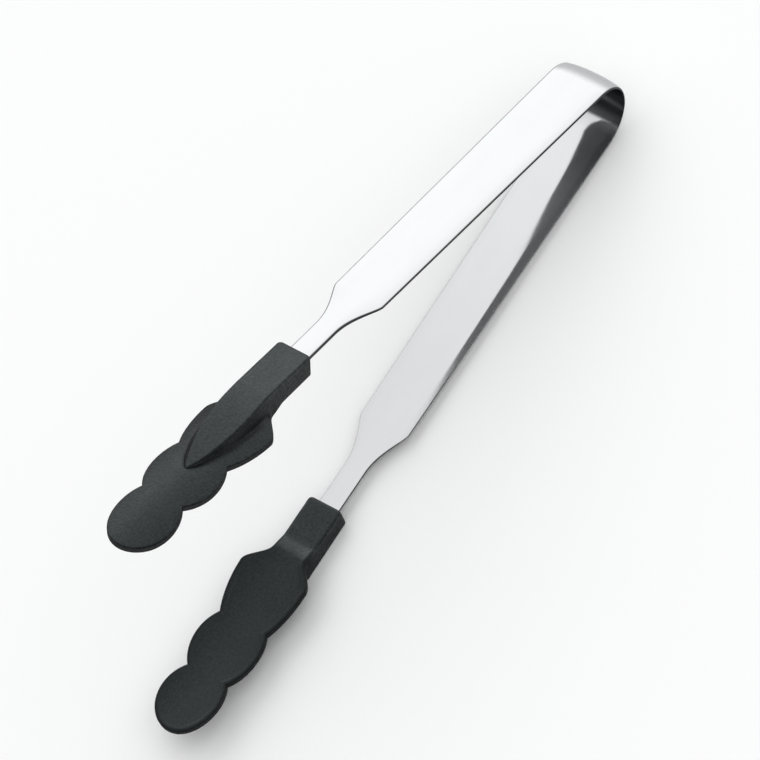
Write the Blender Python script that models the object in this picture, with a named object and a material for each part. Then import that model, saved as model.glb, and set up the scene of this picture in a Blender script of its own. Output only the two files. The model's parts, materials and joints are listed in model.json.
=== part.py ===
"""Kitchen tongs: one bent strip of spring steel with a moulded nylon head on each arm.

The tongs lie on the lower arm, as they do on a worktop: the round underside of the bow
and the flat outer face of the lower head's socket touch the plane z = 0.
+X runs from the bow to the heads and +Y runs across the strip. All lengths are in metres.

Each arm has a frame of its own, which its pivot empty carries: s runs along the arm from
the end of the bow, y runs across it, and n points outward, away from the other arm.
"""

import math

import bmesh
import bpy
import numpy as np
from mathutils import Vector

# Clearance between pieces that touch in the real tongs
SEAT_GAP = 0.0003

# How far a cutter reaches out of the face that it opens
CUTTER_OVERRUN = 0.0050

# Steel strip
STRIP_THICKNESS = 0.0013
STRIP_EDGE_CHAMFER = 0.00025
BOW_RADIUS = 0.0122          # to the middle of the strip's thickness
BOW_WIDTH = 0.0192
ARM_SPREAD_DEG = 10.87       # each arm from the middle plane
BLADE_LENGTH = 0.1116        # bow to shoulder
BLADE_END_WIDTH = 0.0173
SHOULDER_LENGTH = 0.0165     # where the blade narrows to the tang
TANG_WIDTH = 0.0072
TANG_NECK_LENGTH = 0.0153    # bare steel between shoulder and socket
TANG_DEPTH = 0.0215          # tang inside the socket
TANG_END_CHAMFER = 0.0015
PEG_HOLE_DIAMETER = 0.0032   # holes that the nylon fills
FIRST_PEG_DEPTH = 0.0060     # from the socket's mouth
PEG_SPACING = 0.0090

# Nylon head: the socket
SOCKET_WIDTH = 0.0117
SOCKET_OUTER_HEIGHT = 0.0040  # above the strip's middle plane, at the mouth
SOCKET_INNER_HEIGHT = 0.0038  # below that plane
SOCKET_FLAT_LENGTH = 0.0195   # the flat outer face that the tongs lie on
SOCKET_INNER_LENGTH = 0.0139  # mouth to the ramp on the inner side
SOCKET_MOUTH_CHAMFER = 0.0005
RAMP_LENGTH = 0.0040          # from the socket's inner side up to the plate's
CORNER_RADIUS = 0.0007        # along the socket's edges and the keel's

# Nylon head: the keel that runs from the socket over the plate
KEEL_DRAFT = 0.0001
KEEL_FOOT = 0.0003
KEEL_NOSE_WIDTH = 0.0010
KEEL_LENGTH = 0.0321          # end of the flat outer face to nose
KEEL_TAPER_LENGTH = 0.0290    # over which the keel narrows to its nose

# Nylon head: the three-lobed plate
FLARE_START = 0.0185          # socket's mouth to where the plate widens
FLARE_LENGTH = 0.0092
WING_GROWTH = 0.0015          # widening over which the plate parts from the socket's wall
REAR_LOBE_LENGTH = 0.0167     # widest place to the valley in front of it
MIDDLE_LOBE_LENGTH = 0.0192
TIP_LOBE_LENGTH = 0.0203
REAR_LOBE_WIDTH = 0.0240
REAR_VALLEY_WIDTH = 0.0174
MIDDLE_LOBE_WIDTH = 0.0220
FRONT_VALLEY_WIDTH = 0.0146
TIP_LOBE_WIDTH = 0.0196
TIP_SECTION_WIDTH = 0.0080    # narrower sections are this one, squeezed
PLATE_THICKNESS = 0.0025
PLATE_LENGTH_RADIUS = 0.2310  # gentle bend from socket to tip
PLATE_CREST_HEIGHT = 0.0010   # below the strip's middle plane
PLATE_CREST_AT = 0.0410       # from the socket's mouth
OUTER_CROWN_RADIUS = 0.0265   # across the plate, outer face
INNER_CROWN_RADIUS = 0.0335   # across the plate, inner face
OUTER_RIM_RADIUS = 0.0004
INNER_RIM_RADIUS = 0.0014

# Shapes of curves, without a length
SHOULDER_BULGE_SHARE = 0.70
KEEL_PLAN_SHARE = 0.71
KEEL_FALL_SHARE = 1.25
RIM_WALL_SHARE = 0.75
RIM_WING_SHARE = 1.0 / 3.0
ROUND_MIDPOINT_SHARE = 1.0 - math.sqrt(0.5)
WING_SHARES = (0.34, 0.68)
INNER_FACE_SHARES = (0.67, 0.34)

# Facets
SHARP_ANGLE_DEG = 30.0
BOW_STEPS = 36
SHOULDER_STEPS = 14
HOLE_SIDES = 24
FLARE_STEPS = 8
LOBE_STEPS = 9
TIP_STEPS = 12

# Worked out from the sizes above
ARM_SPREAD = math.radians(ARM_SPREAD_DEG)
TANG_START = BLADE_LENGTH + SHOULDER_LENGTH
SOCKET_START = TANG_START + TANG_NECK_LENGTH
TANG_END = SOCKET_START + TANG_DEPTH
FLARE_FROM = SOCKET_START + FLARE_START
REAR_LOBE_AT = FLARE_FROM + FLARE_LENGTH
REAR_VALLEY_AT = REAR_LOBE_AT + REAR_LOBE_LENGTH
FRONT_VALLEY_AT = REAR_VALLEY_AT + MIDDLE_LOBE_LENGTH
TIP_AT = FRONT_VALLEY_AT + TIP_LOBE_LENGTH
FLAT_END = SOCKET_START + SOCKET_FLAT_LENGTH
NOSE_AT = FLAT_END + KEEL_LENGTH

STEEL = {"colour": (0.80, 0.80, 0.81, 1.0), "roughness": 0.16, "metallic": 1.0}
NYLON = {"colour": (0.055, 0.062, 0.067, 1.0), "roughness": 0.58, "metallic": 0.0}


def smoothstep(t):
    """Ease from 0 to 1 with level ends."""
    t = min(max(t, 0.0), 1.0)
    return t * t * (3.0 - 2.0 * t)


def rest_tilt():
    """Angle between the lower arm and the plane that it lies on."""
    bow_outer = BOW_RADIUS + STRIP_THICKNESS / 2
    drop = BOW_RADIUS + SOCKET_OUTER_HEIGHT
    reach = math.hypot(SOCKET_START, drop)
    return math.atan2(drop, SOCKET_START) - math.asin(bow_outer / reach)


def clear_scene():
    for obj in list(bpy.data.objects):
        bpy.data.objects.remove(obj, do_unlink=True)


def make_material(name, finish):
    material = bpy.data.materials.new(name)
    material.use_nodes = True
    shader = material.node_tree.nodes["Principled BSDF"]
    shader.inputs["Base Color"].default_value = finish["colour"]
    shader.inputs["Roughness"].default_value = finish["roughness"]
    shader.inputs["Metallic"].default_value = finish["metallic"]
    material.diffuse_color = finish["colour"]
    return material


def make_empty(name, parent, location=(0, 0, 0), rotation=(0, 0, 0)):
    empty = bpy.data.objects.new(name, None)
    bpy.context.scene.collection.objects.link(empty)
    empty.parent = parent
    empty.location = location
    empty.rotation_euler = rotation
    return empty


def make_object(name, mesh, parent, material=None):
    obj = bpy.data.objects.new(name, mesh)
    bpy.context.scene.collection.objects.link(obj)
    obj.parent = parent
    if material is not None and not mesh.materials:
        mesh.materials.append(material)
    return obj


def make_cutter(name, mesh, parent):
    cutter = make_object(name, mesh, parent)
    cutter.hide_render = True
    cutter.display_type = "WIRE"
    return cutter


def cut(obj, cutter):
    boolean = obj.modifiers.new("cut_" + cutter.name, "BOOLEAN")
    boolean.operation = "DIFFERENCE"
    boolean.solver = "EXACT"
    boolean.object = cutter


def mesh_from_rings(name, rings):
    """Close a stack of rings, each with as many points, into one smooth-shaded body."""
    bm = bmesh.new()
    loops = [[bm.verts.new(point) for point in ring] for ring in rings]
    count = len(loops[0])
    for one, other in zip(loops, loops[1:]):
        for i in range(count):
            j = (i + 1) % count
            bm.faces.new((one[i], one[j], other[j], other[i]))
    bm.faces.new(reversed(loops[0]))
    bm.faces.new(loops[-1])
    bmesh.ops.recalc_face_normals(bm, faces=bm.faces)
    mesh = bpy.data.meshes.new(name)
    bm.to_mesh(mesh)
    bm.free()
    mesh.shade_smooth()
    mesh.set_sharp_from_angle(angle=math.radians(SHARP_ANGLE_DEG))
    return mesh


def strip_ring(centre, outward, half_width):
    """Section of the strip: a thin rectangle with its four edges broken."""
    half = STRIP_THICKNESS / 2
    edge = STRIP_EDGE_CHAMFER
    corners = (
        (half_width - edge, half), (half_width, half - edge),
        (half_width, edge - half), (half_width - edge, -half),
        (edge - half_width, -half), (-half_width, edge - half),
        (-half_width, half - edge), (edge - half_width, half),
    )
    across = Vector((0, 1, 0))
    return [centre + across * y + outward * n for y, n in corners]


def bow_mesh():
    """The strip's round end, in the frame of the bow's centre."""
    end_gap = SEAT_GAP / 2 / BOW_RADIUS
    start = math.pi / 2 + ARM_SPREAD + end_gap
    sweep = 2 * (math.pi - start)
    rings = []
    for step in range(BOW_STEPS + 1):
        angle = start + sweep * step / BOW_STEPS
        outward = Vector((math.cos(angle), 0, math.sin(angle)))
        rings.append(strip_ring(outward * BOW_RADIUS, outward, BOW_WIDTH / 2))
    return mesh_from_rings("spring_bow", rings)


def blade_half_width(s):
    """Half the strip's width at s, from the bow to the end of the tang."""
    if s <= BLADE_LENGTH:
        return (BOW_WIDTH + (BLADE_END_WIDTH - BOW_WIDTH) * s / BLADE_LENGTH) / 2
    t = min((s - BLADE_LENGTH) / SHOULDER_LENGTH, 1.0)
    width = BLADE_END_WIDTH + (TANG_WIDTH - BLADE_END_WIDTH) * smoothstep(t ** SHOULDER_BULGE_SHARE)
    chamfer = max(s - (TANG_END - TANG_END_CHAMFER), 0.0)
    return width / 2 - chamfer


def arm_mesh(name):
    """Blade, shoulder and tang of one arm, in that arm's frame."""
    stations = [SEAT_GAP / 2, BLADE_LENGTH / 2]
    stations += [BLADE_LENGTH + SHOULDER_LENGTH * i / SHOULDER_STEPS for i in range(SHOULDER_STEPS + 1)]
    stations += [SOCKET_START, TANG_END - TANG_END_CHAMFER, TANG_END]
    outward = Vector((0, 0, 1))
    rings = [strip_ring(Vector((s, 0, 0)), outward, blade_half_width(s)) for s in stations]
    return mesh_from_rings(name, rings)


def peg_positions():
    first = SOCKET_START + FIRST_PEG_DEPTH
    return [first, first + PEG_SPACING]


def cylinders_mesh(name, radius, half_height):
    """Upright cylinders at the peg positions."""
    bm = bmesh.new()
    for s in peg_positions():
        made = bmesh.ops.create_cone(
            bm, cap_ends=True, segments=HOLE_SIDES,
            radius1=radius, radius2=radius, depth=2 * half_height,
        )
        bmesh.ops.translate(bm, verts=made["verts"], vec=(s, 0, 0))
    mesh = bpy.data.meshes.new(name)
    bm.to_mesh(mesh)
    bm.free()
    return mesh


def lobe_rise(half_width, peak):
    """Cosine of the ellipse angle at which a lobe of that peak has that half width."""
    return math.sqrt(max(1.0 - (half_width / peak) ** 2, 0.0))


def lobe_half_width(s, start, end, start_half, end_half, peak):
    """Half width of a lobe that is an arc of one ellipse between two valleys."""
    rise = lobe_rise(start_half, peak)
    fall = lobe_rise(end_half, peak)
    semi_axis = (end - start) / (rise + fall)
    x = (s - start - rise * semi_axis) / semi_axis
    return peak * math.sqrt(max(1.0 - x * x, 0.0))


def plate_half_width(s):
    """Half width of the head's outline at s, from the socket to the tip."""
    socket_half = SOCKET_WIDTH / 2
    rear_half = REAR_LOBE_WIDTH / 2
    if s <= REAR_LOBE_AT:
        return socket_half + (rear_half - socket_half) * smoothstep((s - FLARE_FROM) / FLARE_LENGTH)
    if s <= REAR_VALLEY_AT:
        semi_axis = REAR_LOBE_LENGTH / lobe_rise(REAR_VALLEY_WIDTH / 2, rear_half)
        x = (s - REAR_LOBE_AT) / semi_axis
        return rear_half * math.sqrt(1.0 - x * x)
    if s <= FRONT_VALLEY_AT:
        return lobe_half_width(s, REAR_VALLEY_AT, FRONT_VALLEY_AT, REAR_VALLEY_WIDTH / 2,
                               FRONT_VALLEY_WIDTH / 2, MIDDLE_LOBE_WIDTH / 2)
    return lobe_half_width(s, FRONT_VALLEY_AT, TIP_AT, FRONT_VALLEY_WIDTH / 2, 0.0, TIP_LOBE_WIDTH / 2)


def head_stations():
    """Where the head is cut into sections, denser where the outline turns."""
    stations = [SOCKET_START, SOCKET_START + SOCKET_MOUTH_CHAMFER]
    ramp_start = SOCKET_START + SOCKET_INNER_LENGTH
    stations += [ramp_start, FLAT_END, ramp_start + RAMP_LENGTH / 2]
    stations += [FLARE_FROM + FLARE_LENGTH * i / FLARE_STEPS for i in range(FLARE_STEPS + 1)]
    stations += [REAR_LOBE_AT + REAR_LOBE_LENGTH * i / LOBE_STEPS for i in range(1, LOBE_STEPS + 1)]
    stations += [REAR_VALLEY_AT + MIDDLE_LOBE_LENGTH * i / LOBE_STEPS for i in range(1, LOBE_STEPS + 1)]
    for i in range(1, TIP_STEPS):
        stations.append(FRONT_VALLEY_AT + TIP_LOBE_LENGTH * math.sin(math.pi / 2 * i / TIP_STEPS))
    return sorted(stations)


def outline_points(stations):
    """One side of the head's outline, closed at the tip, as points in s and y."""
    points = [(s, plate_half_width(s)) for s in stations]
    points.append((TIP_AT, 0.0))
    return np.array(points)


def edge_distance(s, y, outline):
    """Distance in plan from a point of the plate to the outline."""
    start, end = outline[:-1], outline[1:]
    run = end - start
    point = np.array((s, abs(y)))
    t = np.clip(((point - start) * run).sum(axis=1) / (run * run).sum(axis=1), 0.0, 1.0)
    return float(np.sqrt(((start + t[:, None] * run - point) ** 2).sum(axis=1)).min())


def round_off(distance, radius):
    """How far a rounded edge has dropped at that distance from the outline."""
    inset = radius - min(distance, radius)
    return radius - math.sqrt(max(radius * radius - inset * inset, 0.0))


def crest_height(s):
    """Outer face of the plate on its centre line, in the arm's frame."""
    along = s - SOCKET_START - PLATE_CREST_AT
    return -PLATE_CREST_HEIGHT - along * along / (2 * PLATE_LENGTH_RADIUS)


def plate_outer(s, y):
    return crest_height(s) - y * y / (2 * OUTER_CROWN_RADIUS)


def inner_face(s, y):
    """Inner side of the head: the socket's flat, the ramp and the hollow of the plate."""
    hollow = crest_height(s) - PLATE_THICKNESS - y * y / (2 * INNER_CROWN_RADIUS)
    ramp = smoothstep((s - SOCKET_START - SOCKET_INNER_LENGTH) / RAMP_LENGTH)
    return -SOCKET_INNER_HEIGHT * (1.0 - ramp) + hollow * ramp


def keel_top(s):
    """Outer face of the socket and of the keel that runs on over the plate."""
    flat = SOCKET_OUTER_HEIGHT + (min(s, FLAT_END) - SOCKET_START) * math.tan(rest_tilt())
    if s <= FLAT_END:
        return flat
    fall = min((s - FLAT_END) / KEEL_LENGTH, 1.0)
    return flat - (flat - crest_height(NOSE_AT)) * fall ** KEEL_FALL_SHARE


def keel_half_width(s):
    full = SOCKET_WIDTH / 2 - KEEL_DRAFT
    left = min(max((NOSE_AT - s) / KEEL_TAPER_LENGTH, 0.0), 1.0)
    plan = full * (1.0 - (1.0 - left) ** 2) ** KEEL_PLAN_SHARE
    return max(plan, KEEL_NOSE_WIDTH / 2)


def half_section(s, outline):
    """Half of the head's section at s, from the outer centre line round to the inner one."""
    true_width = plate_half_width(s)
    width = max(true_width, TIP_SECTION_WIDTH / 2)
    squeeze = true_width / width
    wing = smoothstep((true_width - SOCKET_WIDTH / 2) / WING_GROWTH) if s < REAR_LOBE_AT else 1.0
    keel = keel_half_width(s)
    top = keel_top(s)
    side = min(CORNER_RADIUS, keel / 2)
    drop = min(CORNER_RADIUS, max(top - plate_outer(s, keel), 0.0) / 2)
    foot = min(keel + KEEL_FOOT, width)
    outer_rim = min(OUTER_RIM_RADIUS, (width - foot) * RIM_WING_SHARE)
    plate_wall = plate_outer(s, true_width) - inner_face(s, true_width)
    plate_rim = min(INNER_RIM_RADIUS, plate_wall * RIM_WALL_SHARE)
    inner_rim = CORNER_RADIUS + (plate_rim - CORNER_RADIUS) * wing

    def outer_point(y, keel_height=None):
        y *= squeeze
        rounding = round_off(edge_distance(s, y, outline), OUTER_RIM_RADIUS)
        on_keel = keel_height is not None and s < NOSE_AT
        return (y, keel_height if on_keel else plate_outer(s, y) - rounding)

    def inner_point(y):
        y *= squeeze
        return (y, inner_face(s, y) + round_off(edge_distance(s, y, outline), inner_rim))

    keel_points = [
        outer_point(0.0, top), outer_point(keel - side, top),
        outer_point(keel - side * ROUND_MIDPOINT_SHARE, top - drop * ROUND_MIDPOINT_SHARE),
        outer_point(keel, top - drop),
    ]
    wing_reach = width - outer_rim - foot
    wing_ys = [foot] + [foot + wing_reach * share for share in WING_SHARES]
    wing_ys += [width - outer_rim, width - outer_rim * ROUND_MIDPOINT_SHARE, width]
    wing_points = [outer_point(y) for y in wing_ys]
    inner_ys = [width, width - inner_rim * ROUND_MIDPOINT_SHARE, width - inner_rim]
    inner_ys += [(width - inner_rim) * share for share in INNER_FACE_SHARES] + [0.0]
    inner_points = [inner_point(y) for y in inner_ys]

    if wing < 1.0:
        wall_start = np.array(keel_points[-1])
        wall_run = np.array(inner_points[0]) - wall_start
        for i, point in enumerate(wing_points):
            on_wall = wall_start + wall_run * (i + 1) / (len(wing_points) + 1)
            wing_points[i] = tuple(on_wall * (1.0 - wing) + np.array(point) * wing)
    return keel_points + wing_points + inner_points


def head_mesh(name):
    """Outer form of a head, in its arm's frame, without the slot for the tang."""
    stations = head_stations()
    outline = outline_points(stations)
    rings = []
    for s in stations:
        half = half_section(s, outline)
        if s == SOCKET_START:
            inset = 1.0 - SOCKET_MOUTH_CHAMFER / (SOCKET_WIDTH / 2)
            half = [(y * inset, n * inset) for y, n in half]
        mirrored = [(-y, n) for y, n in half[-2:0:-1]]
        rings.append([Vector((s, y, n)) for y, n in half + mirrored])
    return mesh_from_rings(name, rings)


def box_mesh(name, low, high):
    bm = bmesh.new()
    bmesh.ops.create_cube(bm, size=1.0)
    low, high = Vector(low), Vector(high)
    bmesh.ops.scale(bm, verts=bm.verts, vec=high - low)
    bmesh.ops.translate(bm, verts=bm.verts, vec=(low + high) / 2)
    mesh = bpy.data.meshes.new(name)
    bm.to_mesh(mesh)
    bm.free()
    return mesh


def build_arm(side, pivot):
    """Steel arm with the two holes in its tang."""
    name = side + "_arm"
    arm = make_object(name, arm_mesh(name), pivot, make_material(name + "_steel", STEEL))
    holes = cylinders_mesh(side + "_holes", PEG_HOLE_DIAMETER / 2, STRIP_THICKNESS)
    cut(arm, make_cutter(side + "_hole_cutter", holes, pivot))
    return arm


def build_head(side, pivot):
    """Moulded head, hollowed for the tang but for the two pegs that run through it."""
    name = side + "_head"
    head = make_object(name, head_mesh(name), pivot, make_material(name + "_nylon", NYLON))
    slot_half_width = TANG_WIDTH / 2 + SEAT_GAP
    slot_half_height = STRIP_THICKNESS / 2 + SEAT_GAP
    slot = box_mesh(
        side + "_slot",
        (SOCKET_START - CUTTER_OVERRUN, -slot_half_width, -slot_half_height),
        (TANG_END + SEAT_GAP, slot_half_width, slot_half_height),
    )
    slot_cutter = make_cutter(side + "_slot_cutter", slot, pivot)
    pegs = cylinders_mesh(side + "_pegs", PEG_HOLE_DIAMETER / 2 - SEAT_GAP, 2 * slot_half_height)
    cut(slot_cutter, make_cutter(side + "_peg_cutter", pegs, pivot))
    cut(head, slot_cutter)
    return head


def stand_on_floor(frame, pieces):
    """Move the whole assembly so that its box stands centred on the origin."""
    bpy.context.view_layer.update()
    corners = [piece.matrix_world @ vertex.co for piece in pieces for vertex in piece.data.vertices]
    middle_x = (min(c.x for c in corners) + max(c.x for c in corners)) / 2
    frame.location = (-middle_x, 0, -min(c.z for c in corners))


def main():
    clear_scene()
    frame = make_empty("tongs_frame", None, rotation=(0, -ARM_SPREAD - rest_tilt(), 0))
    along = BOW_RADIUS * math.sin(ARM_SPREAD)
    above = BOW_RADIUS * math.cos(ARM_SPREAD)
    pivots = {
        "upper": make_empty("upper_pivot", frame, (-along, 0, above), (0, -ARM_SPREAD, 0)),
        "lower": make_empty("lower_pivot", frame, (-along, 0, -above), (math.pi, ARM_SPREAD, 0)),
    }
    pieces = [make_object("spring_bow", bow_mesh(), frame, make_material("spring_bow_steel", STEEL))]
    for side, pivot in pivots.items():
        pieces.append(build_arm(side, pivot))
        pieces.append(build_head(side, pivot))
    stand_on_floor(frame, pieces)
    bpy.context.view_layer.update()


main()
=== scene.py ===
"""Looks of the kitchen tongs: polished spring steel, matte nylon heads, floor, light and camera."""

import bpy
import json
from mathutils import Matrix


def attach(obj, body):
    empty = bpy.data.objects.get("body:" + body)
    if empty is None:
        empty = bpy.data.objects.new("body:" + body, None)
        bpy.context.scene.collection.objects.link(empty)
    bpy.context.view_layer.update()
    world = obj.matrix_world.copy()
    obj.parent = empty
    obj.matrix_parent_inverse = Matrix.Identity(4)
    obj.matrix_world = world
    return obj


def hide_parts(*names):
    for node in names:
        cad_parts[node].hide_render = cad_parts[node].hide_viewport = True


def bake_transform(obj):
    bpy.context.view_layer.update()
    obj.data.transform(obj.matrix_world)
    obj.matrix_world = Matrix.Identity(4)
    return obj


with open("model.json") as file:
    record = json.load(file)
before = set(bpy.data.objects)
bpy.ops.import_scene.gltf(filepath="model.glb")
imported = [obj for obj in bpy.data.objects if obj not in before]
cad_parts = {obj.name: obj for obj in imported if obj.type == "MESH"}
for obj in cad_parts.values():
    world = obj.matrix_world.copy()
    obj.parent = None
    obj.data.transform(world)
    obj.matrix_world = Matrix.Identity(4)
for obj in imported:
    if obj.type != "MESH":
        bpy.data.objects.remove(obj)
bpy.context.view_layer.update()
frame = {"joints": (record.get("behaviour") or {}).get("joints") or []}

import json
import math

import bmesh
import bpy
import numpy as np
from mathutils import Matrix, Quaternion, Vector

# Main sizes of the steel strip in metres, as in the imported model
STRIP_THICKNESS = 0.0013
BOW_RADIUS = 0.0122
BOW_WIDTH = 0.0192
ARM_SPREAD = math.radians(10.87)
BLADE_LENGTH = 0.1116
BLADE_END_WIDTH = 0.0173
SHOULDER_LENGTH = 0.0165
SHOULDER_BULGE_POWER = 0.70
TANG_WIDTH = 0.0072
TANG_NECK_LENGTH = 0.0153
TANG_DEPTH = 0.0215
TANG_END_CHAMFER = 0.0015
TANG_START = BLADE_LENGTH + SHOULDER_LENGTH
SOCKET_START = TANG_START + TANG_NECK_LENGTH
TANG_END = SOCKET_START + TANG_DEPTH

# Fine form of the strip: edges as (width, height), crowns as sums of (steepest slope, reach, fade)
OUTER_EDGE = (0.00075, 0.00048)
INNER_EDGE = (0.00015, 0.00015)
OUTER_CROWN = ((0.046, 0.0072, 0.0036), (0.105, 0.0038, 0.0032))
INNER_CROWN = ((0.018, 0.0075, 0.0020), (0.050, 0.0032, 0.0016))
BOW_CROWN_HEIGHT = 0.0006

# Division of the strip's mesh, with its face points as shares of the way from edge to middle
FACE_SHARES = (0.03, 0.06, 0.09, 0.12, 0.15, 0.18, 0.22, 0.26, 0.32, 0.40, 0.50, 0.62, 0.74, 0.86)
EDGE_STEPS = 9
CROWN_SAMPLES = 400
BOW_STEPS = 56
NEAR_BOW_SPACING = 0.0005
NEAR_BOW_STEPS = 30
BLADE_STEPS = 16
SHOULDER_STEPS = 40
SLOPE_STEP = 0.00001

# Finish of the steel, with near-black colours painted as shade on the edges, inside the bow and on the arms'
# inner faces
STEEL_BRIGHT = (0.53, 0.534, 0.54, 1)
STEEL_DEEP = (0.505, 0.509, 0.515, 1)
STEEL_EDGE_SHADE = (0.052, 0.052, 0.054, 1)
STEEL_INSIDE_SHADE = (0.085, 0.087, 0.091, 1)
STEEL_GRAZING_TINT = (0.80, 0.80, 0.81, 1)
FACE_ROUGHNESS = (0.045, 0.105)
ROUND_ROUGHNESS = 0.30
BEND_ROUGHNESS = 0.26
EDGE_ROUGHNESS = 0.36
LINE_SCALE = (70.0, 5200.0, 5200.0)
LINE_DETAIL = 2.0
LINE_DEPTH = 0.0000008
PATCH_SCALE = (60.0, 170.0, 170.0)
PATCH_DETAIL = 3.0

# Where the painted shade, with its rougher finish, of the bow's inside and the rougher finish of its outside
# begin and are full along the strip
BOW_SHADE_ENDS = (-0.0052, -0.0066)
ROUND_ENDS = (0.0010, -0.0026)

# How far sideways the surface leans where the edges' painted shade and rougher finish begin and are full
EDGE_LEANS = (0.20, 0.62)

# Share of painted shade, with a rougher finish, on the arms' inner faces, for the upper arm as (at the bow,
# further on)
UPPER_INSIDE_SHADE = (0.90, 0.66)
UPPER_INSIDE_FADE_LENGTH = 0.024
LOWER_INSIDE_SHADE = 0.10

# Sizes of the nylon heads in metres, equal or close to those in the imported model
SOCKET_WIDTH = 0.0120
MOUTH_AHEAD = 0.0004
SOCKET_OUTER_HEIGHT = 0.0040
SOCKET_INNER_HEIGHT = 0.0036
SOCKET_FLAT_LENGTH = 0.0195
SOCKET_INNER_LENGTH = 0.0139
RAMP_LENGTH = 0.0050
RAMP_SOFT_SHARE = 0.25
MOUTH_SIDE_RADIUS = 0.0012
MOUTH_FACE_RADIUS = 0.0004
CORNER_RADIUS = 0.0010
KEEL_CORNER_RADIUS = 0.0007
KEEL_CORNER_WIDTH_SHARE = 0.7
KEEL_CORNER_HEIGHT_SHARE = 0.40
KEEL_FOOT_RADIUS = 0.0014
KEEL_FOOT_WIDTH_SHARE = 0.6
KEEL_FOOT_HEIGHT_SHARE = 0.50
KEEL_ROOM_PARTS = 3
KEEL_DRAFT = 0.0001
KEEL_WALL_LEAN = 0.60
KEEL_WALL_SPREAD = 0.0006
KEEL_NOSE_WIDTH = 0.0002
KEEL_NOSE_STEP = 0.00035
KEEL_NOSE_ROUNDING = 0.0006
KEEL_LENGTH = 0.0330
KEEL_TAPER_LENGTH = 0.0250
KEEL_PLAN_POWER = 0.78
KEEL_FALL_POWER = 1.55
WING_GROWTH = 0.0015
FLARE_START = 0.0185
FLARE_LENGTH = 0.0092
REAR_LOBE_LENGTH = 0.0167
MIDDLE_LOBE_LENGTH = 0.0192
TIP_LOBE_LENGTH = 0.0208
REAR_LOBE_WIDTH = 0.0240
REAR_VALLEY_WIDTH = 0.0174
MIDDLE_LOBE_WIDTH = 0.0220
FRONT_VALLEY_WIDTH = 0.0146
TIP_LOBE_WIDTH = 0.0196
PLATE_THICKNESS = 0.0025
PLATE_LENGTH_RADIUS = 0.2310
PLATE_CREST_HEIGHT = 0.0010
PLATE_CREST_AT = 0.0410
OUTER_CROWN_RADIUS = 0.0265
INNER_CROWN_RADIUS = 0.0335
OUTER_RIM_RADIUS = 0.0004
INNER_RIM_WIDTH = 0.0012
INNER_RIM_DROP = 0.0007
LIP_RISE = 0.00022
LIP_WIDTH = 0.0011
LIP_FADE_LENGTH = 0.0060

# Places along the arm that follow from them
RAMP_FROM = SOCKET_START + SOCKET_INNER_LENGTH
FLARE_FROM = SOCKET_START + FLARE_START
REAR_LOBE_AT = FLARE_FROM + FLARE_LENGTH
REAR_VALLEY_AT = REAR_LOBE_AT + REAR_LOBE_LENGTH
FRONT_VALLEY_AT = REAR_VALLEY_AT + MIDDLE_LOBE_LENGTH
TIP_AT = FRONT_VALLEY_AT + TIP_LOBE_LENGTH
FLAT_END = SOCKET_START + SOCKET_FLAT_LENGTH
NOSE_AT = FLAT_END + KEEL_LENGTH

# Division of the heads' mesh, along the head and then round its section
MOUTH_STEPS = 9
SOCKET_STEPS = 8
RAMP_STEPS = 14
FLARE_STEPS = 32
REAR_LOBE_STEPS = 34
MIDDLE_LOBE_STEPS = 44
TIP_LOBE_STEPS = 36
FAN_STEPS = 48
KEEL_NOSE_SHARES = (1.0, 0.75, 0.5, 0.33, 0.2, 0.1, 0.03, 0.0, -0.2, -0.6)
OUTLINE_STEPS = 60
ROW_SAMPLES = 240
TOP_SHARES = (0, 0.35, 0.7, 0.93)
CORNER_STEPS = 8
WALL_STEPS = 3
FOOT_STEPS = 7
WING_STEPS = 11
RIM_STEPS = 7
SIDE_STEPS = 3
INNER_RIM_STEPS = 9
LIP_STEPS = 6
INNER_SHARES = (0.84, 0.64, 0.42, 0.2, 0)
WELD_DISTANCE = 0.000004

# Finish of the nylon, with its specular level by how far the surface turns away from the view
NYLON_DARK = (0.0026, 0.0034, 0.0036, 1)
NYLON_LIGHT = (0.0185, 0.0212, 0.0218, 1)
# Colour painted as shade on the keel's walls, in the crease at its foot and on the plate's side walls
NYLON_SHADE = (0.0018, 0.0020, 0.0021, 1)
NYLON_TINT = (0.88, 0.97, 1.0, 1)
NYLON_ROUGHNESS = (0.36, 0.46)
NYLON_SHINE = (
    (0, 0.24), (0.13, 0.33), (0.20, 0.38), (0.28, 0.50),
    (0.36, 0.44), (0.48, 0.18), (0.58, 0.08), (1, 0.04),
)
INSIDE_SHINE = 0.25
INSIDE_SMOOTHNESS = 0.45
GRAIN_SCALE = 1300.0
GRAIN_DETAIL = 2.0
GRAIN_DEPTH = 0.00020
CLOUD_SCALE = 160.0
CLOUD_DETAIL = 2.0
NOISE_RANGE = (0.3, 0.7)
EVEN_TONE = 0.5

# Places of the heads with painted shade, a darker colour and less gloss, and places with more polish
KEEL_WALL_SHADE = 0.55
NOSE_FOOT_SHADE = 0.75
NOSE_SHADE_LENGTH = 0.0120
FOOT_SHADE_TURN = 1.5
PLATE_DARKENING = 0.17
SIDE_WALL_SHADE = 0.55
LIP_POLISH = 0.15
RAMP_POLISH = 0.45

# Studio light, with its side levels by how far a direction faces the bright side
LIGHT_COLOR = (0.985, 0.995, 1.0, 1)
LIGHT_SIDE = (-0.9, -0.436, 0.0)
SIDE_LEVELS = (
    (-1, 0.06), (-0.4, 0.12), (0, 0.30), (0.25, 0.42), (0.45, 0.56),
    (0.60, 0.86), (0.73, 1.18), (0.86, 1.64), (0.90, 1.84), (1, 1.95),
)
HORIZON_SHARE = 0.80
HORIZON_REACH = 0.20
TOP_AXIS = (0.05, 0.0, 0.99875)
TOP_EDGE = 0.35
TOP_FULL = 0.95
TOP_LEVEL = 1.05

# Floor
FLOOR_REACH = 12
FLOOR_COLOR = (0.97, 0.965, 0.96, 1)

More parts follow.
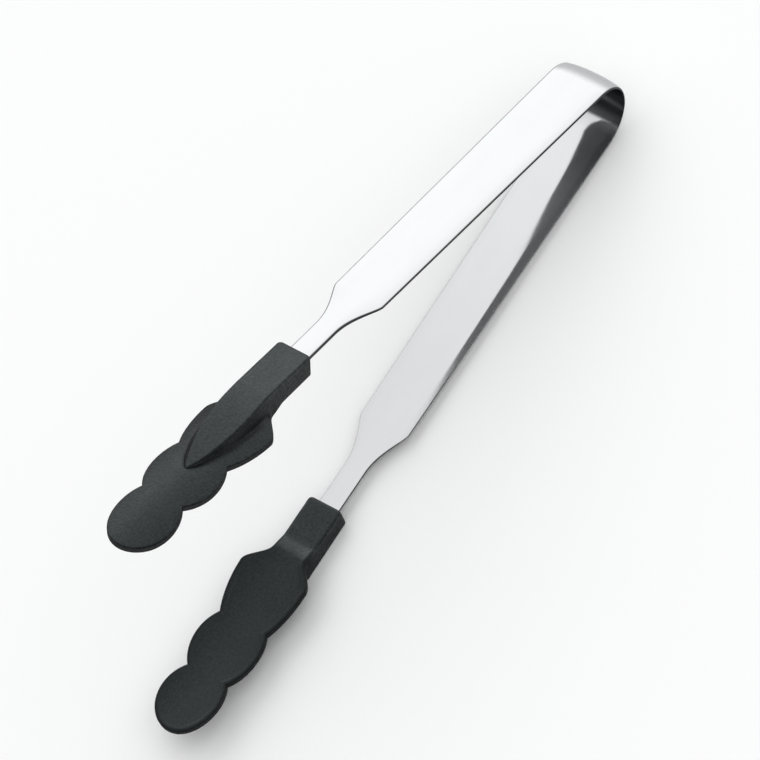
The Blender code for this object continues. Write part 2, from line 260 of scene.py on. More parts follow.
# Camera, fitted to the photograph
CAMERA_AT = (0.470054, 0.820835, 1.772202)
CAMERA_TURN = (0.48091059, 0.00065987, 0.24534205, 0.84174334)
CAMERA_SENSOR = 36.0
CAMERA_LENS = 315.94
CAMERA_SHIFT = (-0.00381, 0.00222)
CAMERA_CLIP = (0.05, 20.0)


def smoothstep(t):
    """Smooth rise from 0 to 1 while t goes from 0 to 1."""
    t = min(max(t, 0.0), 1.0)
    return t * t * (3.0 - 2.0 * t)


def smooth(x):
    """The same rise for arrays."""
    x = np.clip(x, 0.0, 1.0)
    return x * x * (3.0 - 2.0 * x)


def fade(x, ends):
    """Smooth rise from 0 to 1 while x goes from the first end to the second."""
    return smoothstep((x - ends[0]) / (ends[1] - ends[0]))


def rest_tilt():
    """Angle by which the lower arm is turned so that the bow and the lower socket both lie on the floor."""
    bow_outer = BOW_RADIUS + STRIP_THICKNESS / 2
    drop = BOW_RADIUS + SOCKET_OUTER_HEIGHT
    reach = math.hypot(SOCKET_START, drop)
    return math.atan2(drop, SOCKET_START) - math.asin(bow_outer / reach)


def arm_frames():
    """Matrix from each arm's frame (s along, y across, n outward) to the world."""
    pivots = {joint["name"]: Vector(joint["pos_m"]) for joint in frame["joints"]}
    upper = Matrix.Translation(pivots["upper_arm_flex"])
    upper @= Matrix.Rotation(-2 * ARM_SPREAD - rest_tilt(), 4, "Y")
    lower = Matrix.Translation(pivots["lower_arm_flex"])
    lower @= Matrix.Rotation(-rest_tilt(), 4, "Y") @ Matrix.Diagonal((1, 1, -1, 1))
    return {"upper": upper, "lower": lower}


FRAMES = arm_frames()


def new_object(name, mesh):
    obj = bpy.data.objects.new(name, mesh)
    bpy.context.scene.collection.objects.link(obj)
    return obj


def add_values(mesh, name, values):
    """Keep one number for each point of a mesh, for its material."""
    mesh.attributes.new(name, "FLOAT", "POINT").data.foreach_set("value", values)


# Steel strip

def half_width(s):
    """Half of the strip's width at that place along it."""
    if s <= 0.0:
        return BOW_WIDTH / 2
    if s <= BLADE_LENGTH:
        return (BOW_WIDTH + (BLADE_END_WIDTH - BOW_WIDTH) * s / BLADE_LENGTH) / 2
    t = min((s - BLADE_LENGTH) / SHOULDER_LENGTH, 1.0)
    width = BLADE_END_WIDTH + (TANG_WIDTH - BLADE_END_WIDTH) * smoothstep(t ** SHOULDER_BULGE_POWER)
    return width / 2 - max(s - (TANG_END - TANG_END_CHAMFER), 0.0)


def crown_table(crown):
    """Slope and drop of a face against the distance from its edge, at the bow's width."""
    distance = np.linspace(0.0, BOW_WIDTH / 2, CROWN_SAMPLES)
    slope = sum(steepest * smooth((reach - distance) / ease) for steepest, reach, ease in crown)
    drop = np.cumsum(slope[::-1])[::-1] * (distance[1] - distance[0])
    return distance, slope, drop


STRIP_FACES = ((1, OUTER_EDGE, crown_table(OUTER_CROWN)), (-1, INNER_EDGE, crown_table(INNER_CROWN)))


def face_point(inset, scale, table):
    """Slope and drop of a face at that inset from the edge, on a strip scale times as wide as the bow."""
    distance, slope, drop = table
    return np.interp(inset / scale, distance, slope), scale * np.interp(inset / scale, distance, drop)


def strip_section(hw):
    """Closed section of the strip as (y, n, normal y, normal n), from the outer face's middle round by +y."""
    scale = hw / (BOW_WIDTH / 2)
    half = STRIP_THICKNESS / 2
    side = []
    middles = []
    for face, (edge_width, edge_height), table in STRIP_FACES:
        slope, drop = face_point(edge_width, scale, table)
        lean = math.atan(slope * edge_width / edge_height)
        run = []
        for inward in reversed(FACE_SHARES):
            inset = edge_width + (hw - edge_width) * inward
            tilt, fall = face_point(inset, scale, table)
            length = math.hypot(tilt, 1.0)
            run.append((hw - inset, face * (half - fall), tilt / length, face / length))
        for i in range(EDGE_STEPS + 1):
            a = lean + (math.pi / 2 - lean) * i / EDGE_STEPS
            y = hw - edge_width + edge_width * math.sin(a)
            n = half - drop - edge_height * (math.cos(lean) - math.cos(a))
            normal = Vector((math.sin(a) / edge_width, math.cos(a) / edge_height)).normalized()
            run.append((y, face * n, normal.x, face * normal.y))
        side += run if face == 1 else run[::-1]
        middles.append((0.0, face * (half - face_point(hw, scale, table)[1]), 0.0, face))
    mirrored = [(-y, n, -ny, nn) for y, n, ny, nn in reversed(side)]
    return [middles[0]] + side + [middles[1]] + mirrored


def strip_stations(arc):
    """Places along half of the strip where its section is drawn. The bow's middle is at -arc."""
    stations = [-arc + arc * i / BOW_STEPS for i in range(BOW_STEPS + 1)]
    near = [NEAR_BOW_SPACING * i for i in range(1, NEAR_BOW_STEPS + 1)]
    blade = [BLADE_LENGTH * i / BLADE_STEPS for i in range(1, BLADE_STEPS + 1)]
    shoulder = [BLADE_LENGTH + SHOULDER_LENGTH * i / SHOULDER_STEPS for i in range(1, SHOULDER_STEPS + 1)]
    stations += near + [s for s in blade if s > near[-1]] + shoulder
    stations += [SOCKET_START, TANG_END - TANG_END_CHAMFER, TANG_END]
    return sorted(set(stations))


def strip_line(s):
    """Point of the strip's middle line at that place, and the directions outward and along there."""
    if s >= 0.0:
        return Vector((s, 0, 0)), Vector((0, 0, 1)), Vector((1, 0, 0))
    a = -s / BOW_RADIUS
    base = Vector((-BOW_RADIUS * math.sin(a), 0, BOW_RADIUS * math.cos(a) - BOW_RADIUS))
    return base, Vector((-math.sin(a), 0, math.cos(a))), Vector((math.cos(a), 0, math.sin(a)))


def width_slope(s):
    """How fast the half width grows along the strip."""
    if not 0.0 < s < TANG_END:
        return 0.0
    return (half_width(s + SLOPE_STEP) - half_width(s - SLOPE_STEP)) / (2 * SLOPE_STEP)


def inner_face_shade(place, s):
    """Share of the painted shade of the bow's inside, with its rougher finish, that the inner face has at
    that place.
    """
    shade_mask = fade(s, BOW_SHADE_ENDS)
    if place == "upper":
        near, far = UPPER_INSIDE_SHADE
        return max(shade_mask, near + (far - near) * smoothstep(s / UPPER_INSIDE_FADE_LENGTH))
    return max(shade_mask, LOWER_INSIDE_SHADE * smoothstep(s / BLADE_LENGTH))


def strip_half(name, place):
    """Half of the strip, from the middle of the bow to the end of the tang."""
    arc = BOW_RADIUS * (math.pi / 2 - ARM_SPREAD)
    stations = strip_stations(arc)
    verts, normals, places, edge_shades, inside_shades, rounds = [], [], [], [], [], []
    for s in stations:
        base, out, along = strip_line(s)
        hw = half_width(s)
        slope = width_slope(s)
        swell = BOW_CROWN_HEIGHT * smoothstep(-s / arc)
        before, after = smoothstep((SLOPE_STEP - s) / arc), smoothstep((-SLOPE_STEP - s) / arc)
        swell_slope = BOW_CROWN_HEIGHT * (before - after) / (2 * SLOPE_STEP)
        painted_shade = inner_face_shade(place, s)
        turned = fade(s, ROUND_ENDS)
        for y, n, ny, nn in strip_section(hw):
            across = y / hw
            crown = 1.0 - across * across
            verts.append(base + Vector((0, y, 0)) + out * (n + swell * crown))
            side_normal = (Vector((0, 1.0 if y > 0 else -1.0, 0)) - along * slope).normalized()
            tilt_across = Vector((0, 2 * swell * across / hw, 0))
            face_normal = (out + tilt_across + along * (swell_slope * crown)).normalized()
            normals.append((side_normal * abs(ny) + face_normal * nn).normalized())
            places.append((s, y, n))
            # Painted shade on the side faces and on the inner faces near the bow: their colour turns darker
            # in steel_material
            edge_shades.append(fade(abs(ny), EDGE_LEANS))
            inside_shades.append(painted_shade if nn < 0.0 else 0.0)
            rounds.append(turned if nn > 0.0 else 0.0)
    count = len(verts) // len(stations)
    faces = []
    for k in range(len(stations) - 1):
        for i in range(count):
            j = (i + 1) % count
            faces.append((k * count + i, (k + 1) * count + i, (k + 1) * count + j, k * count + j))
    last = (len(stations) - 1) * count
    faces.append(list(range(count)))
    faces.append([last + i for i in reversed(range(count))])
    if place == "lower":
        faces = [tuple(reversed(face)) for face in faces]
    matrix = FRAMES[place]
    rotation = matrix.to_3x3()
    mesh = bpy.data.meshes.new(name)
    mesh.from_pydata([matrix @ v for v in verts], [], faces)
    mesh.shade_smooth()
    mesh.normals_split_custom_set_from_vertices([(rotation @ n).normalized() for n in normals])
    mesh.attributes.new("strip_place", "FLOAT_VECTOR", "POINT").data.foreach_set("vector", np.ravel(places))
    add_values(mesh, "strip_edge_shade", edge_shades)
    add_values(mesh, "strip_inside_shade", inside_shades)
    add_values(mesh, "strip_round", rounds)
    return new_object(name, mesh)


# Nylon heads

def lobe_rise(half, peak):
    """Cosine of the ellipse angle at which a lobe of that peak has that half width."""
    return math.sqrt(1.0 - (half / peak) ** 2)


def lobe_ellipse(start, end, start_half, end_half, peak):
    """Middle and half length of the lobe that has those half widths at its two ends."""
    rise, fall = lobe_rise(start_half, peak), lobe_rise(end_half, peak)
    half_length = (end - start) / (rise + fall)
    return start + rise * half_length, half_length


TIP_MIDDLE, TIP_HALF_LENGTH = lobe_ellipse(
    FRONT_VALLEY_AT, TIP_AT, FRONT_VALLEY_WIDTH / 2, 0.0, TIP_LOBE_WIDTH / 2)


def lobe_outlines():
    """One side of the rear, middle and tip lobes, each run on inside its neighbours, as points in s and y."""
    socket, peak = SOCKET_WIDTH / 2, REAR_LOBE_WIDTH / 2
    shares = np.linspace(0.0, 1.0, OUTLINE_STEPS)
    half_length = REAR_LOBE_LENGTH / lobe_rise(REAR_VALLEY_WIDTH / 2, peak)
    rear = [(SOCKET_START - SOCKET_INNER_LENGTH, socket)]
    rear += [(FLARE_FROM + FLARE_LENGTH * t, socket + (peak - socket) * smoothstep(t)) for t in shares]
    turn = shares[1:] * math.pi / 2
    rear += [(REAR_LOBE_AT + half_length * math.sin(a), peak * math.cos(a)) for a in turn]
    middle, middle_half_length = lobe_ellipse(
        REAR_VALLEY_AT, FRONT_VALLEY_AT, REAR_VALLEY_WIDTH / 2, FRONT_VALLEY_WIDTH / 2, MIDDLE_LOBE_WIDTH / 2)
    ovals = (
        (middle, middle_half_length, MIDDLE_LOBE_WIDTH / 2),
        (TIP_MIDDLE, TIP_HALF_LENGTH, TIP_LOBE_WIDTH / 2),
    )
    lobes = [np.array(rear)]
    for centre, length, width in ovals:
        turn = np.linspace(0.0, math.pi, 2 * OUTLINE_STEPS)
        lobes.append(np.stack([centre - length * np.cos(turn), width * np.sin(turn)], axis=1))
    return lobes


LOBES = lobe_outlines()


def plate_half_width(s):
    return max(np.interp(s, lobe[:, 0], lobe[:, 1], left=0.0, right=0.0) for lobe in LOBES)


def rim_depth(plan):
    """How deep points of the plan lie inside the outline, taken from the lobe that holds them deepest."""
    depths = []
    for lobe in LOBES:
        start, run = lobe[:-1], lobe[1:] - lobe[:-1]
        offset = plan[:, None, :] - start
        t = np.clip((offset * run).sum(axis=2) / (run * run).sum(axis=1), 0.0, 1.0)
        gap = np.sqrt(((offset - t[..., None] * run) ** 2).sum(axis=2)).min(axis=1)
        inside = plan[:, 1] < np.interp(plan[:, 0], lobe[:, 0], lobe[:, 1], left=0.0, right=0.0)
        depths.append(np.where(inside, gap, -gap))
    return np.max(depths, axis=0)


def crest_height(s):
    """Outer face of the plate on its centre line."""
    along = s - SOCKET_START - PLATE_CREST_AT
    return -PLATE_CREST_HEIGHT - along * along / (2 * PLATE_LENGTH_RADIUS)


def plate_outer(s, y):
    return crest_height(s) - y * y / (2 * OUTER_CROWN_RADIUS)


def inner_face(s, y):
    """Inner side of the head: the socket's flat, the ramp and the hollow of the plate."""
    hollow = crest_height(s) - PLATE_THICKNESS - y * y / (2 * INNER_CROWN_RADIUS)
    t = np.clip((s - RAMP_FROM) / RAMP_LENGTH, 0.0, 1.0)
    ramp = t + (smooth(t) - t) * RAMP_SOFT_SHARE
    return -SOCKET_INNER_HEIGHT * (1.0 - ramp) + hollow * ramp


def keel_top(s):
    """Outer face of the socket and of the keel that runs on over the plate."""
    flat = SOCKET_OUTER_HEIGHT + (min(s, FLAT_END) - SOCKET_START) * math.tan(rest_tilt())
    fall = min(max(s - FLAT_END, 0.0) / KEEL_LENGTH, 1.0)
    top = flat - (flat - crest_height(NOSE_AT) - KEEL_NOSE_STEP) * fall ** KEEL_FALL_POWER
    left = min(max((NOSE_AT - s) / KEEL_NOSE_ROUNDING, 0.0), 1.0)
    return crest_height(s) + (top - crest_height(s)) * math.sqrt(1.0 - (1.0 - left) ** 2)


def keel_half_width(s):
    left = min(max((NOSE_AT - s) / KEEL_TAPER_LENGTH, 0.0), 1.0)
    plan = (SOCKET_WIDTH / 2 - KEEL_DRAFT) * (1.0 - (1.0 - left) ** 2) ** KEEL_PLAN_POWER
    return max(plan, KEEL_NOSE_WIDTH / 2)


def keel_columns(s, room):
    """Keel's section from its centre line to the foot of its wall, as (y, height, painted shade)."""
    keel = keel_half_width(s)
    top = keel_top(s)
    wall = max(top - plate_outer(s, keel), 0.0)
    along = smoothstep((s - FLARE_FROM) / FLARE_LENGTH)
    radius = CORNER_RADIUS + (KEEL_CORNER_RADIUS - CORNER_RADIUS) * along
    corner_width = min(radius, KEEL_CORNER_WIDTH_SHARE * keel, wall)
    corner_height = min(radius, KEEL_CORNER_HEIGHT_SHARE * wall)
    foot_width = min(KEEL_FOOT_RADIUS, room, KEEL_FOOT_WIDTH_SHARE * wall)
    foot_height = min(KEEL_FOOT_RADIUS, KEEL_FOOT_HEIGHT_SHARE * wall)
    spread_out = min(KEEL_WALL_LEAN * wall, KEEL_WALL_SPREAD, room) * along
    # Painted shade on the keel's corner and walls, and towards the nose also in the crease at its foot
    painted_shade = KEEL_WALL_SHADE * along
    nose = NOSE_FOOT_SHADE * smoothstep((s - NOSE_AT + NOSE_SHADE_LENGTH) / NOSE_SHADE_LENGTH)
    points = [((keel - corner_width) * share, top, 0.0) for share in TOP_SHARES]
    for i in range(CORNER_STEPS + 1):
        a = math.pi / 2 * i / CORNER_STEPS
        y = keel - corner_width * (1 - math.sin(a))
        height = top - corner_height * (1 - math.cos(a))
        points.append((y, height, painted_shade * smoothstep(i / CORNER_STEPS)))
    foot_at = keel + spread_out
    wall_top, wall_foot = top - corner_height, plate_outer(s, foot_at) + foot_height
    for i in range(1, WALL_STEPS):
        share = i / WALL_STEPS
        height = wall_top + (wall_foot - wall_top) * share
        points.append((keel + spread_out * share, height, max(painted_shade, nose * share)))
    for i in range(FOOT_STEPS + 1):
        a = math.pi / 2 * i / FOOT_STEPS
        y = foot_at + foot_width * (1 - math.cos(a))
        height = plate_outer(s, y) + foot_height * (1 - math.sin(a))
        shade_and_polish = max(painted_shade * math.cos(a), nose * math.sin(FOOT_SHADE_TURN * a))
        points.append((y, height, max(shade_and_polish, PLATE_DARKENING)))
    return points


def head_row(spine, edge, half, reference):
    """Half of a cut through the head, from the outer centre line round to the inner one, as rows of
    s, y, n, painted shade (below 0 for extra polish) and how far inside the plate's hollow they lie."""
    shares = np.linspace(0.0, 1.0, ROW_SAMPLES)
    plan = np.stack([spine + (edge - spine) * shares, half * shares], axis=1)
    depth = np.maximum.accumulate(rim_depth(plan)[::-1])
    depth[0] = 0.0

    def share_at(level):
        return float(np.interp(level, depth, shares[::-1]))

    def point(share, height, shade_and_polish=0.0, inside=0.0):
        s, y = spine + (edge - spine) * share, half * share
        return np.array((s, y, height(s, y), shade_and_polish, inside))

    step = smoothstep((edge - RAMP_FROM) / RAMP_LENGTH)
    wing = smoothstep((half - SOCKET_WIDTH / 2) / WING_GROWTH) if edge < REAR_LOBE_AT else 1.0
    rim_share = share_at(OUTER_RIM_RADIUS)
    keel = keel_half_width(edge)
    room = max((rim_share * reference - keel) / KEEL_ROOM_PARTS, KEEL_NOSE_WIDTH / 2)
    has_keel = edge < NOSE_AT
    columns = []
    for y, height, painted_shade in keel_columns(edge, room):
        if has_keel:
            columns.append(point(y / reference, lambda s, y: height, painted_shade))
        else:
            columns.append(point(y / reference, plate_outer, PLATE_DARKENING))
    wall_from = len(TOP_SHARES) + CORNER_STEPS + 1
    foot_share = columns[-1][1] / half if half > 0 else keel_columns(edge, room)[-1][0] / reference
    for i in range(1, WING_STEPS):
        share = foot_share + (rim_share - foot_share) * i / WING_STEPS
        columns.append(point(share, plate_outer, PLATE_DARKENING))
    for i in range(RIM_STEPS + 1):
        a = math.pi / 2 * i / RIM_STEPS
        fall = OUTER_RIM_RADIUS * (1 - math.cos(a))
        share = share_at(OUTER_RIM_RADIUS * (1 - math.sin(a)))
        # Painted shade on the plate's rounded rim and side wall
        painted_shade = PLATE_DARKENING + (SIDE_WALL_SHADE * step - PLATE_DARKENING) * math.sin(a)
        columns.append(point(share, lambda s, y: plate_outer(s, y) - fall, painted_shade))
    rim_width = CORNER_RADIUS + (INNER_RIM_WIDTH - CORNER_RADIUS) * step
    rim_drop = CORNER_RADIUS + (INNER_RIM_DROP - CORNER_RADIUS) * step
    inside = smoothstep((edge - RAMP_FROM - RAMP_LENGTH / 2) / RAMP_LENGTH)
    lip = LIP_RISE * inside * smoothstep((TIP_AT - edge) / LIP_FADE_LENGTH)
    ramp_polish = RAMP_POLISH * math.sin(math.pi * min(max((edge - RAMP_FROM) / RAMP_LENGTH, 0.0), 1.0))
    inner = []
    for i in range(INNER_RIM_STEPS + 1):
        a = math.pi / 2 * i / INNER_RIM_STEPS
        rise = rim_drop * (1 - math.sin(a)) - lip
        share = share_at(rim_width * (1 - math.cos(a)))
        # Painted shade on the rounding of the inner rim, next to the side wall
        painted_shade = SIDE_WALL_SHADE * math.sqrt(max(math.cos(a), 0.0)) * step
        inner.append(point(share, lambda s, y: inner_face(s, y) + rise, painted_shade, inside * math.sin(a)))
    for i in range(1, LIP_STEPS + 1):
        rise = -lip * (1 - smoothstep(i / LIP_STEPS))
        last = share_at(rim_width + LIP_WIDTH * i / LIP_STEPS)
        polish = max(ramp_polish, LIP_POLISH * inside * math.sin(math.pi * i / LIP_STEPS))
        inner.append(point(last, lambda s, y: inner_face(s, y) + rise, -polish, inside))
    inner += [point(last * share, inner_face, -ramp_polish, inside) for share in INNER_SHARES]
    for i in range(1, SIDE_STEPS):
        columns.append(columns[-1] + (inner[0] - columns[-1]) / (SIDE_STEPS - i + 1))
    if wing < 1.0:
        start, loose = columns[wall_from - 1], len(columns) - wall_from
        for i in range(loose):
            on_wall = start + (inner[0] - start) * (i + 1) / (loose + 1)
            columns[wall_from + i] = on_wall * (1 - wing) + columns[wall_from + i] * wing
    return columns + inner


def spread(start, end, count):
    """Places between two ends, without the first, close together at both ends."""
    return [start + (end - start) * (1 - math.cos(math.pi * i / count)) / 2 for i in range(1, count + 1)]


def head_rows():
    """All cuts of a head from its mouth to its tip, and the number of the cut where the last ones fan out."""
    rows = []
    for i in range(MOUTH_STEPS + 1):
        a = math.pi / 2 * i / MOUTH_STEPS
        s = SOCKET_START - MOUTH_AHEAD + MOUTH_SIDE_RADIUS * (1 - math.cos(a))
        inset = 1 - math.sin(a)
        row = np.array(head_row(s, s, SOCKET_WIDTH / 2, SOCKET_WIDTH / 2))
        middle = (row[0, 2] + row[-1, 2]) / 2
        row[:, 1] *= 1 - inset * MOUTH_SIDE_RADIUS / (SOCKET_WIDTH / 2)
        row[:, 2] = middle + (row[:, 2] - middle) * (1 - inset * MOUTH_FACE_RADIUS / (row[0, 2] - middle))
        rows.append(row)
    mouth_end = SOCKET_START - MOUTH_AHEAD + MOUTH_SIDE_RADIUS
    tip_mirrored = 2 * TIP_MIDDLE - FRONT_VALLEY_AT
    straight = [mouth_end + (RAMP_FROM - mouth_end) * i / SOCKET_STEPS for i in range(1, SOCKET_STEPS + 1)]
    straight += [RAMP_FROM + RAMP_LENGTH * i / RAMP_STEPS for i in range(1, RAMP_STEPS + 1)]
    straight += [FLARE_FROM + FLARE_LENGTH * i / FLARE_STEPS for i in range(FLARE_STEPS + 1)]
    straight += spread(REAR_LOBE_AT, REAR_VALLEY_AT, REAR_LOBE_STEPS)
    straight += spread(REAR_VALLEY_AT, FRONT_VALLEY_AT, MIDDLE_LOBE_STEPS)
    straight += spread(FRONT_VALLEY_AT, tip_mirrored, TIP_LOBE_STEPS)[:TIP_LOBE_STEPS // 2]
    straight += [NOSE_AT - KEEL_NOSE_ROUNDING * share for share in KEEL_NOSE_SHARES]
    for s in sorted(straight):
        half = plate_half_width(s)
        rows.append(np.array(head_row(s, s, half, half)))
    fan = len(rows) - 1
    for i in range(1, FAN_STEPS + 1):
        a = math.pi / 2 * i / FAN_STEPS
        edge = TIP_MIDDLE + TIP_HALF_LENGTH * math.sin(a)
        half = TIP_LOBE_WIDTH / 2 * math.cos(a) if i < FAN_STEPS else 0.0
        rows.append(np.array(head_row(TIP_MIDDLE, edge, half, TIP_LOBE_WIDTH / 2)))
    return rows, fan


def head_mesh(name, rows, fan, place):
    """Both halves of a head, joined along its plane of symmetry and at its tip."""
    matrix = FRAMES[place]
    verts, shade_and_polish, insides, index = [], [], [], {}
    count = len(rows[0])

    def vertex(i, j, side):
        middle = j in (0, count - 1)
        key = (min(i, fan) if middle else i, j, 0 if middle or i == len(rows) - 1 else side)
        if key not in index:
            s, y, n, painted_shade, inside = rows[key[0]][j]
            index[key] = len(verts)
            verts.append(matrix @ Vector((s, y * key[2], n)))
            shade_and_polish.append(painted_shade)
            insides.append(inside)
        return index[key]

    faces = []
    for side in (1, -1):
        for i in range(len(rows) - 1):
            for j in range(count - 1):
                corners = [vertex(*at, side) for at in ((i, j), (i + 1, j), (i + 1, j + 1), (i, j + 1))]
                corners = list(dict.fromkeys(corners))
                if len(corners) > 2:
                    faces.append(corners if side == 1 else corners[::-1])
    mouth = [vertex(0, j, 1) for j in range(count)] + [vertex(0, j, -1) for j in range(count - 2, 0, -1)]
    faces.append(mouth)
    if place == "lower":
        faces = [face[::-1] for face in faces]
    mesh = bpy.data.meshes.new(name)
    mesh.from_pydata(verts, [], faces)
    mesh.shade_smooth()
    add_values(mesh, "head_shade_and_polish", shade_and_polish)
    add_values(mesh, "head_inside", insides)
    welded = bmesh.new()
    welded.from_mesh(mesh)
    bmesh.ops.remove_doubles(welded, verts=welded.verts, dist=WELD_DISTANCE)
    welded.to_mesh(mesh)
    welded.free()
    return mesh


# Nodes that the materials and the light share

# Numbers of a mix node's first and second inputs and of its result, for numbers and for colours
MIX_SOCKETS = {"FLOAT": (2, 3, 0), "RGBA": (6, 7, 2)}


def material(name):
    """New material with its node tree and its shader."""
    mat = bpy.data.materials.new(name)
    mat.use_nodes = True
    return mat, mat.node_tree, mat.node_tree.nodes["Principled BSDF"]


def feed(tree, value, socket):
    """Link an output to a socket, or set the socket to a plain value."""
    if hasattr(value, "is_linked"):
        tree.links.new(value, socket)
    else:
        socket.default_value = value


def attribute(tree, name, output="Fac"):
    node = tree.nodes.new("ShaderNodeAttribute")
    node.attribute_name = name
    return node.outputs[output]


def stretched(tree, place, scale):
    """Place scaled by its own amount along each axis."""
    node = tree.nodes.new("ShaderNodeMapping")
    node.inputs["Scale"].default_value = scale
    tree.links.new(place, node.inputs["Vector"])
    return node.outputs["Vector"]


def noise(tree, place, scale, detail):
    node = tree.nodes.new("ShaderNodeTexNoise")
    node.inputs["Scale"].default_value = scale
    node.inputs["Detail"].default_value = detail
    tree.links.new(place, node.inputs["Vector"])
    return node.outputs["Fac"]


def combined(tree, operation, first, second):
    node = tree.nodes.new("ShaderNodeMath")
    node.operation = operation
    feed(tree, first, node.inputs[0])
    feed(tree, second, node.inputs[1])
    return node.outputs[0]


def mixed(tree, kind, share, first, second):
    """Mix of two numbers (FLOAT) or two colours (RGBA)."""
    node = tree.nodes.new("ShaderNodeMix")
    node.data_type = kind
    first_input, second_input, result = MIX_SOCKETS[kind]
    feed(tree, share, node.inputs[0])
    feed(tree, first, node.inputs[first_input])
    feed(tree, second, node.inputs[second_input])
    return node.outputs[result]


def ranged(tree, value, source, target, shape="LINEAR"):
    """Value carried from one range to another, and held at its ends."""
    node = tree.nodes.new("ShaderNodeMapRange")
    node.interpolation_type = shape
    for name, level in zip(("From Min", "From Max", "To Min", "To Max"), source + target):
        node.inputs[name].default_value = level
    tree.links.new(value, node.inputs["Value"])
    return node.outputs["Result"]


def grey_ramp(tree, value, stops):
    """Grey level by value, with the stops as (value, level)."""
    node = tree.nodes.new("ShaderNodeValToRGB")
    elements = node.color_ramp.elements
    elements.remove(elements[0])
    for number, (at, level) in enumerate(stops):
        stop = elements[0] if number == 0 else elements.new(at)
        stop.position = at
        stop.color = (level, level, level, 1)
    tree.links.new(value, node.inputs["Fac"])
    return node.outputs["Color"]


def bump(tree, height, strength, depth):
    node = tree.nodes.new("ShaderNodeBump")
    feed(tree, strength, node.inputs["Strength"])
    node.inputs["Distance"].default_value = depth
    tree.links.new(height, node.inputs["Height"])
    return node.outputs["Normal"]


# Materials

def steel_material():
    """Polished strip: faint lengthwise polishing lines, hazy patches, rougher edges and bow, and near-black
    colour painted as shade on the edges, inside the bow and on the arms' inner faces.
    """
    mat, tree, shader = material("polished_steel")
    shader.inputs["Metallic"].default_value = 1.0
    shader.inputs["Specular Tint"].default_value = STEEL_GRAZING_TINT
    place = attribute(tree, "strip_place", "Vector")
    edge = attribute(tree, "strip_edge_shade")
    shade_mask = attribute(tree, "strip_inside_shade")
    turned = attribute(tree, "strip_round")
    lines = noise(tree, stretched(tree, place, LINE_SCALE), 1.0, LINE_DETAIL)
    patches = noise(tree, stretched(tree, place, PATCH_SCALE), 1.0, PATCH_DETAIL)

    color = mixed(tree, "RGBA", patches, STEEL_BRIGHT, STEEL_DEEP)
    # Painted shade: near-black colour inside the bow, on the arms' inner faces and on the edges
    color = mixed(tree, "RGBA", shade_mask, color, STEEL_INSIDE_SHADE)
    color = mixed(tree, "RGBA", edge, color, STEEL_EDGE_SHADE)
    tree.links.new(color, shader.inputs["Base Color"])

    roughness = mixed(tree, "FLOAT", patches, *FACE_ROUGHNESS)
    roughness = mixed(tree, "FLOAT", turned, roughness, ROUND_ROUGHNESS)
    roughness = mixed(tree, "FLOAT", shade_mask, roughness, BEND_ROUGHNESS)
    roughness = mixed(tree, "FLOAT", edge, roughness, EDGE_ROUGHNESS)
    tree.links.new(roughness, shader.inputs["Roughness"])
    tree.links.new(bump(tree, lines, 1.0, LINE_DEPTH), shader.inputs["Normal"])
    return mat


def nylon_material():
    """Dark moulded nylon with a fine matte grain in tone and relief, faint clouds in its gloss, and darker
    colour with less gloss painted as shade on the keel's walls, in the crease at its foot and on the plate's
    side walls.
    """
    mat, tree, shader = material("charcoal_nylon")
    shader.inputs["Specular Tint"].default_value = NYLON_TINT
    shade_and_polish = attribute(tree, "head_shade_and_polish")
    inside = attribute(tree, "head_inside")
    place = tree.nodes.new("ShaderNodeTexCoord").outputs["Object"]
    grain = noise(tree, place, GRAIN_SCALE, GRAIN_DETAIL)
    clouds = noise(tree, place, CLOUD_SCALE, CLOUD_DETAIL)

    facing = tree.nodes.new("ShaderNodeLayerWeight").outputs["Facing"]
    shine = mixed(tree, "FLOAT", inside, grey_ramp(tree, facing, NYLON_SHINE), INSIDE_SHINE)
    kept = combined(tree, "SUBTRACT", 1.0, shade_and_polish)
    tree.links.new(combined(tree, "MULTIPLY", shine, kept), shader.inputs["Specular IOR Level"])

    smoothness = combined(tree, "MULTIPLY", inside, INSIDE_SMOOTHNESS)
    speckle = ranged(tree, grain, NOISE_RANGE, (0.0, 1.0))
    speckle = mixed(tree, "FLOAT", smoothness, speckle, EVEN_TONE)
    color = mixed(tree, "RGBA", speckle, NYLON_DARK, NYLON_LIGHT)
    # Painted shade: darker colour on the keel's walls, in the crease at its foot and on the plate's side
    # walls, and faintly over the whole plate
    color = mixed(tree, "RGBA", shade_and_polish, color, NYLON_SHADE)
    tree.links.new(color, shader.inputs["Base Color"])

    tree.links.new(ranged(tree, clouds, NOISE_RANGE, NYLON_ROUGHNESS), shader.inputs["Roughness"])
    relief = combined(tree, "SUBTRACT", 1.0, smoothness)
    tree.links.new(bump(tree, grain, relief, GRAIN_DEPTH), shader.inputs["Normal"])
    return mat


# Pieces

def add_strips(steel):
    for place in ("upper", "lower"):
        strip = strip_half(place + "_strip", place)
        strip.data.materials.append(steel)
        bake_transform(strip)
        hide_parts("spring_bow", place + "_arm")


def add_heads(nylon):
    rows, fan = head_rows()
    for place in ("upper", "lower"):
        name = place + "_nylon_head"
        head = new_object(name, head_mesh(name, rows, fan, place))
        head.data.materials.append(nylon)
        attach(head, place + "_side")
        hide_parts(place + "_head")


# Floor, light and camera

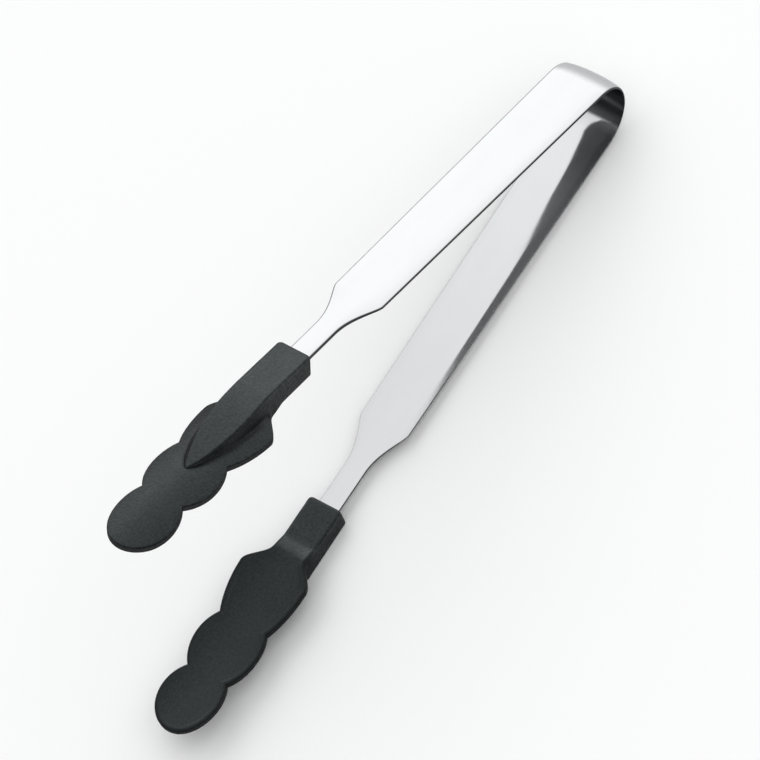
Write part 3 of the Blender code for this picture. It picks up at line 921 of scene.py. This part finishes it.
def add_floor():
    """Plain pale floor."""
    reach = FLOOR_REACH
    corners = [(-reach, -reach, 0), (reach, -reach, 0), (reach, reach, 0), (-reach, reach, 0)]
    mesh = bpy.data.meshes.new("floor")
    mesh.from_pydata(corners, [], [(0, 1, 2, 3)])
    floor = new_object("floor", mesh)
    mat, _, shader = material("floor_white")
    shader.inputs["Base Color"].default_value = FLOOR_COLOR
    shader.inputs["Roughness"].default_value = 1.0
    shader.inputs["Specular IOR Level"].default_value = 0.0
    mesh.materials.append(mat)


def add_light():
    """Soft studio light: a broad bright side and top, and a dim side towards +X and +Y."""
    world = bpy.data.worlds.new("studio")
    bpy.context.scene.world = world
    world.use_nodes = True
    tree = world.node_tree
    background = tree.nodes["Background"]
    background.inputs["Color"].default_value = LIGHT_COLOR
    direction = tree.nodes.new("ShaderNodeTexCoord").outputs["Generated"]

    def facing(axis):
        """How far a direction faces that axis, from -1 to 1."""
        dot = tree.nodes.new("ShaderNodeVectorMath")
        dot.operation = "DOT_PRODUCT"
        dot.inputs[1].default_value = axis
        tree.links.new(direction, dot.inputs[0])
        return dot.outputs["Value"]

    brightest = SIDE_LEVELS[-1][1]
    stops = [((at + 1) / 2, level / brightest) for at, level in SIDE_LEVELS]
    side = grey_ramp(tree, ranged(tree, facing(LIGHT_SIDE), (-1.0, 1.0), (0.0, 1.0)), stops)
    levels = (HORIZON_SHARE * brightest, brightest)
    height = ranged(tree, facing((0, 0, 1)), (0.0, HORIZON_REACH), levels, "SMOOTHSTEP")
    top = ranged(tree, facing(TOP_AXIS), (TOP_EDGE, TOP_FULL), (0.0, TOP_LEVEL), "SMOOTHSTEP")
    side = combined(tree, "MULTIPLY", side, height)
    tree.links.new(combined(tree, "ADD", side, top), background.inputs["Strength"])


def add_camera():
    data = bpy.data.cameras.new("camera")
    data.sensor_width = CAMERA_SENSOR
    data.lens = CAMERA_LENS
    data.shift_x, data.shift_y = CAMERA_SHIFT
    data.clip_start, data.clip_end = CAMERA_CLIP
    camera = new_object("camera", data)
    camera.location = CAMERA_AT
    camera.rotation_mode = "QUATERNION"
    camera.rotation_quaternion = Quaternion(CAMERA_TURN)
    bpy.context.scene.camera = camera


add_strips(steel_material())
add_heads(nylon_material())
add_floor()
add_light()
add_camera()

bpy.context.scene.view_settings.view_transform = "Standard"
